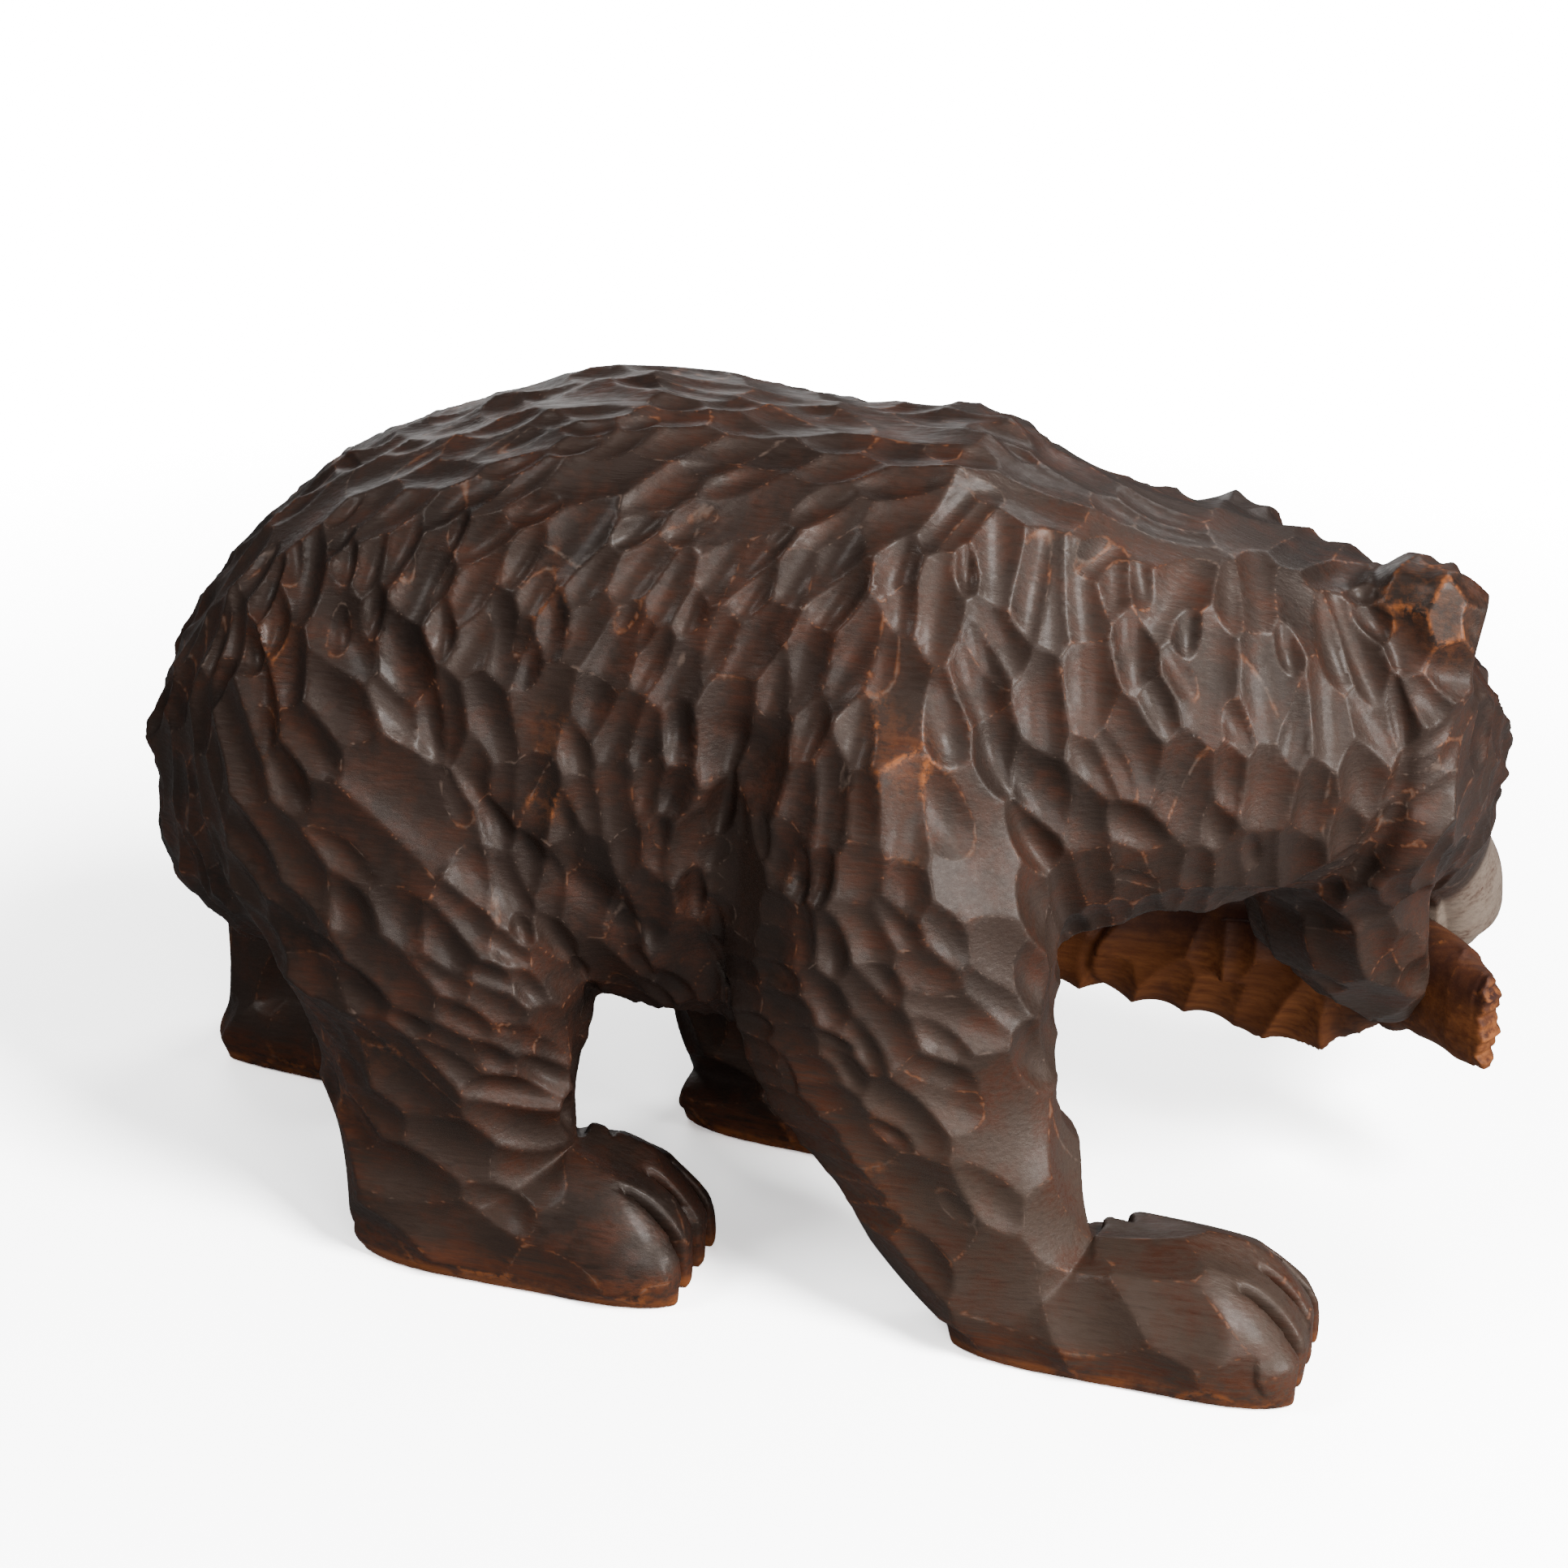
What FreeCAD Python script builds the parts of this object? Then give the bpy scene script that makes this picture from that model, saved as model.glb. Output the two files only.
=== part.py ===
"""Walking bear with a salmon in its jaws, carved from one block of wood.

Frame: millimetres, +Z up, +X along the body towards the chest, +Y to the bear's left.
The four soles stand on Z = 0. The head is turned to the bear's left.
"""

import FreeCAD, Part
import math
import os

from FreeCAD import Placement, Rotation, Vector

NOMINAL_LENGTH = 300.0  # the station tables below are drawn for a bear this long

# Driving dimensions: alias, value, what it is. Lengths in millimetres, angles in degrees.
DRIVING = (
    ("CarvingLength", 300.0, "size that the station tables are scaled to"),
    ("HomeX", 11.5, "puts the origin midway between rump and fish"),
    ("HomeY", -11.3, "puts the origin midway across the bear and its fish"),
    ("HeadX", 107.0, "middle of the skull, ahead of the belly's middle"),
    ("HeadY", 26.0, "middle of the skull, left of the belly's middle"),
    ("HeadYaw", 63.0, "how far the head is turned to the left"),
    ("EarSpan", 52.0, "distance between the ears' middles"),
    ("EarForward", -1.0, "ears, ahead of the skull's middle"),
    ("EarTip", 172.5, "height of the ears' tips"),
    ("EarScoop", 9.0, "radius of the hollow in the front of the ear"),
    ("EyeRadius", 3.4, "glass bead"),
    ("EyeSpan", 34.0, "distance between the beads' middles"),
    ("EyeForward", 43.2, "beads, ahead of the skull's middle"),
    ("EyeHeight", 106.0, "height of the beads' middles"),
    ("ToeGroove", 2.6, "half width of the groove between two toes at the sole"),
    ("ToePitch", 9.6, "distance between two grooves"),
)

# A station of a loft: middle x, y, z; half width; reach up; reach down; yaw; pitch (nose down).
TRUNK = (
    (-153, 0, 105, 24, 22, 24, 0, 0),
    (-144, 0, 106, 40, 38, 40, 0, 0),
    (-130, 0, 108, 50, 54, 46, 0, 0),
    (-106, 0, 112, 56, 68, 54, 0, 0),
    (-76, 0, 118, 58, 74, 59, 0, 0),
    (-40, 0, 120, 56, 81, 61, 0, 0),
    (0, 0, 120, 53, 78, 62, 0, 0),
    (30, 1, 122, 51, 76, 58, 0, 0),
    (52, 4, 124, 40, 57, 42, 14, 0),
)
NECK = (
    (28, 2, 124, 50, 75, 48, 13, 0),
    (60, 8, 130, 45, 57, 41, 28, 0),
    (84, 17, 132, 43, 46, 39, 43, 0),
    (108, 32, 128, 38, 40, 39, 58, 0),
)
TAIL = (
    (-152, 0, 124, 9, 3, 3, 0, 80),
    (-155, 0, 116, 10, 6, 6, 0, 75),
    (-157, 0, 107, 10, 7, 7, 0, 80),
    (-158, 0, 97, 7, 5, 5, 0, 90),
    (-157, 0, 92, 3, 2.5, 2.5, 0, 90),
)
# The head's stations are in its own frame: x ahead of the skull's middle, y to its left.
SKULL = (
    (-14, 0, 130, 37, 41, 38, 0, 4),
    (2, 0, 124, 37, 37, 40, 0, 18),
    (14, 0, 115, 33, 33, 34, 0, 33),
    (27, 0, 104, 27, 25, 27, 0, 46),
    (38, 0, 91, 20, 15, 19, 0, 54),
    (47, 0, 80, 17, 12, 15, 0, 56),
    (54, 0, 69, 15.5, 12, 15, 0, 58),
    (60.5, 0, 58, 12.5, 9.5, 13, 0, 58),
)
JAW = (
    (-2, -2, 104, 20, 10, 10, 0, 44),
    (7, -2, 86, 23, 12, 19, 0, 50),
    (15, -2, 72, 20, 8, 16, 0, 58),
    (22, -2, 59, 16, 6, 11, 0, 62),
    (28, -2, 47, 11, 4, 6, 0, 62),
)
SALMON = (
    (25, -35, 52, 3.5, 15, 10, 90, 0),
    (27, -30, 53, 5.0, 13, 11, 90, 0),
    (31, -20, 54, 7.0, 13, 13, 92, 0),
    (35, 0, 54, 8.5, 14, 15, 97, 0),
    (32, 22, 48, 10, 18, 19, 103, 0),
    (26, 45, 45, 10.5, 17, 16, 108, 0),
    (18, 66, 43, 9, 14, 13, 112, 0),
    (10, 84, 41, 7, 9, 9, 114, 0),
    (5, 94, 40, 4, 4.5, 4.5, 115, 0),
)
# A leg's stations lie flat: half width is sideways, the reaches are forward and back.
RIGHT_HIND = (
    (-76, -40, 3, 17, 22, 22, 0, 90),
    (-77, -40, 25, 18, 27, 27, 0, 90),
    (-77, -40, 50, 20, 29, 30, 0, 90),
    (-80, -39, 75, 25, 36, 38, 0, 90),
    (-88, -36, 100, 28, 44, 46, 0, 90),
    (-92, -33, 130, 28, 42, 40, 0, 90),
    (-90, -28, 158, 18, 26, 26, 0, 90),
)
LEFT_HIND = (
    (-148, 42, 3, 17, 20, 22, 0, 90),
    (-147, 42, 25, 18, 27, 27, 0, 90),
    (-138, 41, 50, 20, 29, 30, 0, 90),
    (-122, 39, 75, 24, 34, 36, 0, 90),
    (-106, 36, 100, 28, 42, 42, 0, 90),
    (-96, 33, 130, 28, 40, 42, 0, 90),
    (-90, 28, 158, 18, 26, 26, 0, 90),
)
RIGHT_FORE = (
    (72, -41, 4, 16, 24, 20, 0, 90),
    (48, -41, 25, 18, 25, 25, 0, 90),
    (39, -41, 45, 20, 29, 29, 0, 90),
    (29, -41, 65, 22, 33, 33, 0, 90),
    (26, -38, 90, 25, 36, 36, 0, 90),
    (22, -34, 120, 27, 36, 34, 0, 90),
    (24, -28, 155, 20, 26, 24, 0, 90),
)
LEFT_FORE = (
    (-12, 40, 4, 17, 24, 22, 0, 90),
    (-20, 40, 25, 18, 26, 28, 0, 90),
    (-18, 40, 45, 20, 28, 30, 0, 90),
    (-10, 40, 65, 22, 32, 34, 0, 90),
    (5, 37, 90, 25, 36, 36, 0, 90),
    (16, 34, 120, 27, 36, 34, 0, 90),
    (22, 28, 155, 20, 26, 24, 0, 90),
)
# An ear's stations come down from its tip: drop, half width, half depth.
EAR = (
    (0, 7.5, 5.5),
    (4, 11.5, 8.5),
    (13, 13, 10),
    (34, 12.5, 10),
)
# A paw's stations run from the heel: distance, half width, height.
PAW = (
    (0, 12, 9),
    (12, 18, 19),
    (34, 20, 27),
    (56, 21, 29),
    (68, 20, 24),
    (76, 15, 13),
)
PAWS = (  # name, heel x, y, yaw, length as a share of the table's
    ("RightHindPaw", -97, -40, 0, 1.03),
    ("LeftHindPaw", -172, 41, -4, 0.95),
    ("RightForePaw", 44, -40, 0, 1.04),
    ("LeftForePaw", -44, 40, -2, 0.98),
)


def spreadsheet(doc):
    """The sheet with the driving dimensions, one alias each."""
    sheet = doc.addObject("Spreadsheet::Sheet", "Dimensions")
    for row, (alias, value, meaning) in enumerate(DRIVING, start=1):
        sheet.set(f"A{row}", alias)
        sheet.set(f"B{row}", str(value))
        sheet.set(f"C{row}", meaning)
        sheet.setAlias(f"B{row}", alias)
    doc.recompute()
    return sheet


class Carving:
    """Makes the document's objects at the sheet's sizes."""

    ROUND_POINTS = 12  # points on a section's outline
    SQUARENESS = 2.35  # 2 is an ellipse; more is boxier

    def __init__(self, doc, sheet):
        self.doc = doc
        self.sheet = sheet
        self.scale = sheet.CarvingLength / NOMINAL_LENGTH
        self.body = Placement(Vector(sheet.HomeX, sheet.HomeY, 0), Rotation())
        self.head = self.body * Placement(
            Vector(sheet.HeadX, sheet.HeadY, 0),
            Rotation(Vector(0, 0, 1), sheet.HeadYaw),
        )

    def section(self, name, station, frame):
        """One closed outline, flat-sided like a hand-carved form."""
        x, y, z, half_width, up, down, yaw, pitch = station
        points = []
        for i in range(self.ROUND_POINTS):
            angle = 2 * math.pi * i / self.ROUND_POINTS
            across, along = math.cos(angle), math.sin(angle)
            power = 2 / self.SQUARENESS
            side = math.copysign(abs(across) ** power, across) * half_width
            rise = math.copysign(abs(along) ** power, along) * (up if along > 0 else down)
            points.append(Vector(0, side * self.scale, rise * self.scale))
        curve = Part.BSplineCurve()
        curve.interpolate(Points=points, PeriodicFlag=True)
        left, right = curve.parameter(points[0]), curve.parameter(points[self.ROUND_POINTS // 2])
        over = curve.toShape(left, right)
        under = curve.toShape(right, curve.LastParameter)
        outline = self.doc.addObject("Part::Feature", name)
        outline.Shape = Part.Wire([over, under])
        turn = Rotation(Vector(0, 0, 1), yaw) * Rotation(Vector(0, 1, 0), pitch)
        outline.Placement = frame * Placement(Vector(x, y, z) * self.scale, turn)
        return outline

    def loft(self, name, stations, frame=None):
        """A solid skinned over its stations, which are in the body's frame unless one is given."""
        frame = frame or self.body
        skin = self.doc.addObject("Part::Loft", name)
        skin.Sections = [
            self.section(f"{name}Station{i}", station, frame)
            for i, station in enumerate(stations, start=1)
        ]
        skin.Solid = True
        skin.Ruled = False
        return skin

    def paw(self, name, heel_x, y, yaw, length):
        """A foot from heel to toes; its underside is cut flat later."""
        frame = self.body * Placement(
            Vector(heel_x, y, 0) * self.scale, Rotation(Vector(0, 0, 1), yaw)
        )
        mid = 7.0
        stations = [
            (at * length, 0, mid, half_width, height - mid, 2 * mid, 0, 0)
            for at, half_width, height in PAW
        ]
        return self.loft(name, stations, frame)


    def ball(self, name, radius, placement):
        """A sphere; radius names a cell of the sheet."""
        sphere = self.doc.addObject("Part::Sphere", name)
        sphere.setExpression("Radius", f"Dimensions.{radius}")
        sphere.Placement = placement
        return sphere

    def ear(self, side, sign):
        """A rounded ear with a hollow scooped in its front."""
        sheet = self.sheet
        ahead, aside = sheet.EarForward, sign * sheet.EarSpan / 2
        knob = self.loft(f"{side}EarKnob", [
            (ahead, aside, sheet.EarTip - drop, half_width, half_depth, half_depth, 0, 90)
            for drop, half_width, half_depth in EAR
        ], self.head)
        seat = Vector(ahead + sheet.EarScoop, aside, sheet.EarTip - 1.2 * sheet.EarScoop)
        hollow = self.ball(f"{side}EarHollow", "EarScoop", self.head * Placement(seat, Rotation()))
        return self.cut(f"{side}Ear", knob, hollow)

    def eye(self, side, sign):
        """A glass bead, more than half of it sunk in the wood."""
        sheet = self.sheet
        seat = Vector(sheet.EyeForward, sign * sheet.EyeSpan / 2, sheet.EyeHeight)
        return self.ball(f"{side}Eye", "EyeRadius", self.head * Placement(seat, Rotation()))

    def toe_grooves(self, name, heel_x, y, yaw, length):
        """Three wedge-shaped grooves down the front of a paw, widest at the sole."""
        frame = self.body * Placement(
            Vector(heel_x, y, 0) * self.scale, Rotation(Vector(0, 0, 1), yaw)
        )
        upright = Rotation(Vector(1, 0, 0), 90)
        front = PAW[-1][0] * length * self.scale
        reach = max(station[2] for station in PAW) * self.scale
        grooves = []
        for i in (-1, 0, 1):
            groove = self.doc.addObject("Part::Wedge", f"{name}Groove{i + 2}")
            groove.Ymin, groove.Ymax = 0, 1.1 * reach
            groove.Xmin, groove.X2min = -0.15 * reach, -0.5 * reach
            groove.Xmax = groove.X2max = reach
            groove.setExpression("Zmin", "-Dimensions.ToeGroove")
            groove.setExpression("Zmax", "Dimensions.ToeGroove")
            groove.setExpression("Z2min", "-Dimensions.ToeGroove / 5")
            groove.setExpression("Z2max", "Dimensions.ToeGroove / 5")
            seat = Vector(front - 0.1 * reach * abs(i), i * self.sheet.ToePitch, -1)
            groove.Placement = frame * Placement(seat, upright)
            grooves.append(groove)
        return grooves

    def fuse(self, name, shapes):
        """All the shapes as one solid."""
        block = self.doc.addObject("Part::MultiFuse", name)
        block.Shapes = shapes
        return block

    def cut(self, name, base, tool):
        """The base without the tool."""
        rest = self.doc.addObject("Part::Cut", name)
        rest.Base = base
        rest.Tool = tool
        return rest


def masses(carving):
    """Every bulk of the bear before they become one block."""
    head = carving.head
    bulks = [
        carving.loft("Trunk", TRUNK),
        carving.loft("Neck", NECK),
        carving.loft("Skull", SKULL, head),
        carving.loft("Jaw", JAW, head),
        carving.loft("RightHindLeg", RIGHT_HIND),
        carving.loft("LeftHindLeg", LEFT_HIND),
        carving.loft("RightForeLeg", RIGHT_FORE),
        carving.loft("LeftForeLeg", LEFT_FORE),
        carving.ear("Right", -1),
        carving.ear("Left", 1),
        carving.loft("Tail", TAIL),
    ]
    bulks += [carving.paw(*paw) for paw in PAWS]
    return bulks


def floor_waste(carving):
    """What lies below the soles."""
    waste = carving.doc.addObject("Part::Box", "BelowSoles")
    waste.Length, waste.Width, waste.Height = (2 * NOMINAL_LENGTH * carving.scale,) * 3
    waste.Placement.Base = Vector(-waste.Length / 2, -waste.Width / 2, -waste.Height)
    return waste


def build(doc, sheet):
    """The bear's block, the salmon and the eyes, labelled with their node names."""
    carving = Carving(doc, sheet)
    salmon = carving.loft("Salmon", SALMON, carving.head)
    eyes = [carving.eye("Right", -1), carving.eye("Left", 1)]
    rough = carving.fuse("RoughBlock", masses(carving))
    cutters = [salmon, floor_waste(carving)] + eyes
    for paw in PAWS:
        cutters += carving.toe_grooves(*paw)
    bear = carving.cut("Bear", rough, carving.fuse("Cutters", cutters))
    pieces = (bear, salmon) + tuple(eyes)
    for piece, node in zip(pieces, ("bear_body", "salmon", "right_eye", "left_eye")):
        piece.Label = node
    return pieces


def check(doc, pieces):
    """Stops the build if any object or piece is broken."""
    for made in doc.Objects:
        if "Invalid" in made.State or "Error" in made.State:
            raise RuntimeError(f"{made.Name} did not build: {made.State}")
    for piece in pieces:
        if piece.Shape.isNull() or not piece.Shape.isValid():
            raise RuntimeError(f"{piece.Label} is not a valid shape")
        if len(piece.Shape.Solids) != 1:
            raise RuntimeError(f"{piece.Label} is {len(piece.Shape.Solids)} solids, not one")


def main():
    doc = FreeCAD.newDocument("WalkingBear")
    pieces = build(doc, spreadsheet(doc))
    doc.recompute()
    check(doc, pieces)
    os.makedirs("parts", exist_ok=True)
    for piece in pieces:
        piece.Shape.exportStep(f"parts/{piece.Label}.step")
        print(piece.Label, round(piece.Shape.Volume / 1000, 2), "cm3", piece.Shape.BoundBox)


main()
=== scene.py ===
"""Looks of the carved bear with its salmon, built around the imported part."""

import math

import bmesh
import bpy
import numpy as np
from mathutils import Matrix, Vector


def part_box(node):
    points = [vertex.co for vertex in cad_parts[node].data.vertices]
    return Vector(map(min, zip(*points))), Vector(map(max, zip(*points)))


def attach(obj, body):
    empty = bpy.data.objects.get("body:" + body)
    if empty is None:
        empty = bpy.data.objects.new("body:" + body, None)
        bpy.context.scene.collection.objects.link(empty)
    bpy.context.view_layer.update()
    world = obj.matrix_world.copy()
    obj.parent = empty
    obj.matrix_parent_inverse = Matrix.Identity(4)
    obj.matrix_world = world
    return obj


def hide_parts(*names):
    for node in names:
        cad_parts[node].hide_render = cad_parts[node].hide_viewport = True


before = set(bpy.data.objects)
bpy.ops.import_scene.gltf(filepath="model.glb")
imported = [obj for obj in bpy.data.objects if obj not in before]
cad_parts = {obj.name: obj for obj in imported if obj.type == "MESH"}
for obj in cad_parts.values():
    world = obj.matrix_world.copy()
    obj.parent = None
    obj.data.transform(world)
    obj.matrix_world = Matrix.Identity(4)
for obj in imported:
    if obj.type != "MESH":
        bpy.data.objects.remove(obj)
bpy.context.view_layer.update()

MM = 0.001
COARSE = 1.0
BODY = np.array((11.5, -11.3, 0.0))  # the belly's middle, which the tables below are measured from
HEAD_YAW = math.radians(63)
HEAD = np.array((107.0, 26.0, 0.0))  # the skull's middle, from the belly's
AHEAD = np.array((math.cos(HEAD_YAW), math.sin(HEAD_YAW), 0.0))
ASIDE = np.array((-math.sin(HEAD_YAW), math.cos(HEAD_YAW), 0.0))  # the head's left
UP = np.array((0.0, 0.0, 1.0))
PAW_TOP = 34
HEEL_BACK = -163  # the far hind leg's thin heel is drawn in to about here
BEAR_FACES = 420000


# ---------------------------------------------------------------- mesh helpers

def points_of(mesh):
    flat = np.empty(len(mesh.vertices) * 3, np.float32)
    mesh.vertices.foreach_get("co", flat)
    return flat.reshape(-1, 3).astype(np.float64) / MM - BODY


def set_points(mesh, points):
    flat = ((points + BODY) * MM).astype(np.float32).ravel()
    mesh.vertices.foreach_set("co", flat)
    mesh.update()


def edges_of(mesh):
    flat = np.empty(len(mesh.edges) * 2, np.int32)
    mesh.edges.foreach_get("vertices", flat)
    return flat.reshape(-1, 2)


def normals_of(mesh):
    flat = np.empty(len(mesh.vertices) * 3, np.float32)
    mesh.vertex_normals.foreach_get("vector", flat)
    return flat.reshape(-1, 3).astype(np.float64)


def spread(values, edges, rounds, share=0.5, weight=None):
    """Each point's values move towards its neighbours' mean, so many times."""
    a, b = edges[:, 0], edges[:, 1]
    count = len(values)
    degree = np.bincount(a, minlength=count) + np.bincount(b, minlength=count)
    degree = np.maximum(degree, 1)
    amount = share if weight is None else share * weight
    out = values.copy()
    for _ in range(rounds):
        for k in range(out.shape[1]):
            column = out[:, k]
            total = np.bincount(a, column[b], count) + np.bincount(b, column[a], count)
            out[:, k] = column + amount * (total / degree - column)
    return out


def unit(vectors):
    return vectors / np.maximum(np.linalg.norm(vectors, axis=-1, keepdims=True), 1e-9)


def ease(value, low, high):
    t = np.clip((value - low) / (high - low), 0, 1)
    return t * t * (3 - 2 * t)


def evened(source, name, voxel):
    """A copy of a CAD node with an even skin of small squares."""
    obj = bpy.data.objects.new(name, source.data.copy())
    bpy.context.scene.collection.objects.link(obj)
    obj.data.materials.clear()
    even = obj.modifiers.new("even", "REMESH")
    even.mode = "VOXEL"
    even.voxel_size = voxel * MM
    even.use_smooth_shade = True
    apply_modifiers(obj)
    return obj


def apply_modifiers(obj):
    depsgraph = bpy.context.evaluated_depsgraph_get()
    made = bpy.data.meshes.new_from_object(obj.evaluated_get(depsgraph))
    old = obj.data
    obj.modifiers.clear()
    obj.data = made
    bpy.data.meshes.remove(old)


def thinned(obj, faces):
    """Fewer triangles, most of them where the surface bends."""
    triangles = sum(len(p.vertices) - 2 for p in obj.data.polygons)
    if triangles > faces:
        fewer = obj.modifiers.new("fewer", "DECIMATE")
        fewer.ratio = faces / triangles
        apply_modifiers(obj)


def drop_crumbs(mesh):
    """Keeps the largest connected part and deletes any other."""
    shape = bmesh.new()
    shape.from_mesh(mesh)
    left = set(shape.verts)
    parts = []
    while left:
        part, rim = [], [left.pop()]
        while rim:
            vert = rim.pop()
            part.append(vert)
            near = {edge.other_vert(vert) for edge in vert.link_edges} & left
            left -= near
            rim.extend(near)
        parts.append(part)
    parts.sort(key=len)
    crumbs = [vert for part in parts[:-1] for vert in part]
    bmesh.ops.delete(shape, geom=crumbs, context="VERTS")
    shape.to_mesh(mesh)
    shape.free()


def store(mesh, name, values):
    layer = mesh.attributes.new(name, "FLOAT", "POINT")
    layer.data.foreach_set("value", np.asarray(values, np.float32))


def in_head(points):
    """Ahead of the skull's middle, to its left, and height."""
    away = points - HEAD
    return np.stack((away @ AHEAD, away @ ASIDE, away[:, 2]), axis=1)


def along_neck(points):
    """Grows from the chest to the head, which is turned to the left."""
    return points[:, 0] + points[:, 1] * 0.6


def folded_right(points):
    """The points with the left side mirrored onto the right."""
    folded = points.copy()
    folded[:, 1] = -np.abs(folded[:, 1])
    return folded


def line_gap(points, route):
    """Distance of each point from a broken line."""
    best = np.full(len(points), 1e9)
    route = np.array(route, float)
    for start, end in zip(route[:-1], route[1:]):
        leg = end - start
        t = np.clip((points - start) @ leg / (leg @ leg), 0, 1)
        best = np.minimum(best, np.linalg.norm(points - start - t[:, None] * leg, axis=1))
    return best


# ------------------------------------------------------------------ gouge cuts

class Gouges:
    """Scooped cuts over a surface. A point's depth is that of the deepest cut there."""

    REACH = 2.1  # a cut is worked out this many half sizes from its middle
    THROUGH = 14.0  # two cuts this far apart through the wood don't need to keep clear
    TALLEST = 9.0  # a cut touches no point further off its plane than this
    UNCUT = 8.0  # a point with no cut closer than this is left as it was
    RIDGE = 0.22  # height above a cut at which its ridge has faded
    SIZE_SPREAD, TURN_SPREAD, HOLLOW_SPREAD = 0.22, 0.2, 0.28

    def __init__(self, seed):
        self.rng = np.random.default_rng(seed)
        self.cuts = []

    def sow(self, points, normals, along, size, tries, over=False, apart=0.72, deeper=0.0):
        """Fills the surface with cuts, no two nearer than their half sizes allow.

        Cuts sown over the others don't keep clear of them."""
        rng = self.rng
        order = rng.permutation(len(points))[:tries]
        standing = [] if over else self.cuts
        centres = np.array([c["at"] for c in standing]).reshape(-1, 3)
        spacing = np.array([(c["long"], c["wide"]) for c in standing]).reshape(-1, 2)
        frames = np.array([(c["u"], c["v"], c["n"]) for c in standing]).reshape(-1, 3, 3)
        room = len(order) + len(centres)
        at, half, axes = np.zeros((room, 3)), np.zeros((room, 2)), np.zeros((room, 3, 3))
        n = len(centres)
        at[:n], half[:n], axes[:n] = centres, spacing, frames
        for i in order:
            grow = math.exp(rng.normal(0, self.SIZE_SPREAD))
            long, wide, curve = size[i, 0] * grow, size[i, 1] * grow, size[i, 2]
            if long <= 0:
                continue
            away = points[i] - at[:n]
            a = np.einsum("ij,ij->i", away, axes[:n, 0]) / (long + half[:n, 0])
            b = np.einsum("ij,ij->i", away, axes[:n, 1]) / (wide + half[:n, 1])
            c = np.einsum("ij,ij->i", away, axes[:n, 2]) / self.THROUGH
            same = axes[:n, 2] @ normals[i] > 0.1
            if n and np.any((a * a + b * b + c * c < apart) & same):
                continue
            turn = rng.normal(0, self.TURN_SPREAD)
            u = unit(along[i] + turn * np.cross(normals[i], along[i]))
            v = np.cross(normals[i], u)
            at[n], half[n], axes[n] = points[i], (long, wide), (u, v, normals[i])
            self.add(points[i], u, v, normals[i], long, wide, curve, deeper)
            n += 1

    def add(self, at, u, v, n, long, wide, curve, deeper=0.0):
        rng = self.rng
        hollow = curve * math.exp(rng.normal(0, self.HOLLOW_SPREAD))
        self.cuts.append({
            "at": at, "u": u, "v": v, "n": n, "long": long, "wide": wide, "hollow": hollow,
            "deep": rng.uniform(0.0, 0.35) * curve + 0.55 * (hollow - curve) + deeper,
            "tilt": rng.normal((-0.06, 0), 0.04) * curve, "tone": rng.uniform(),
        })

    def add_by_hand(self, points, normals, spot, way, long, wide, curve, deeper):
        """One cut at the surface's nearest point to a spot."""
        i = np.argmin(((points - spot) ** 2).sum(1))
        n = normals[i]
        u = unit(np.array(way) - np.dot(way, n) * n)
        self.add(points[i], u, np.cross(n, u), n, long, wide, curve, deeper)

    def carve(self, points, normals):
        """Height change, nearness to a ridge, and tone of the cut, for each point."""
        first = np.full(len(points), self.TALLEST)
        second = np.full(len(points), self.TALLEST)
        tone = np.full(len(points), 0.5)
        slices = np.argsort(points[:, 0])
        ordered = points[slices, 0]
        for cut in self.cuts:
            reach = self.REACH * max(cut["long"], cut["wide"])
            lo, hi = np.searchsorted(ordered, (cut["at"][0] - reach, cut["at"][0] + reach))
            near = slices[lo:hi]
            away = points[near] - cut["at"]
            close = np.abs(away[:, 2]) < reach
            near, away = near[close], away[close]
            a, b, c = away @ cut["u"], away @ cut["v"], away @ cut["n"]
            inside = (np.abs(a) < self.REACH * cut["long"]) & (np.abs(b) < self.REACH * cut["wide"])
            inside &= (np.abs(c) < self.TALLEST) & (normals[near] @ cut["n"] > 0.15)
            near, a, b = near[inside], a[inside], b[inside]
            end = np.where(a > 0, 1.25, 0.75)
            height = (
                cut["hollow"] * ((b / cut["wide"]) ** 2 + end * (a / cut["long"]) ** 2)
                - cut["deep"] + cut["tilt"][0] * a + cut["tilt"][1] * b
            )
            wins = height < first[near]
            second[near] = np.where(wins, first[near], np.minimum(second[near], height))
            tone[near[wins]] = cut["tone"]
            first[near] = np.minimum(first[near], height)
        missed = first > self.UNCUT
        first[missed], second[missed] = 0.0, 1.0
        return first, np.exp(-np.minimum(second - first, 5) / self.RIDGE), tone


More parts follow.
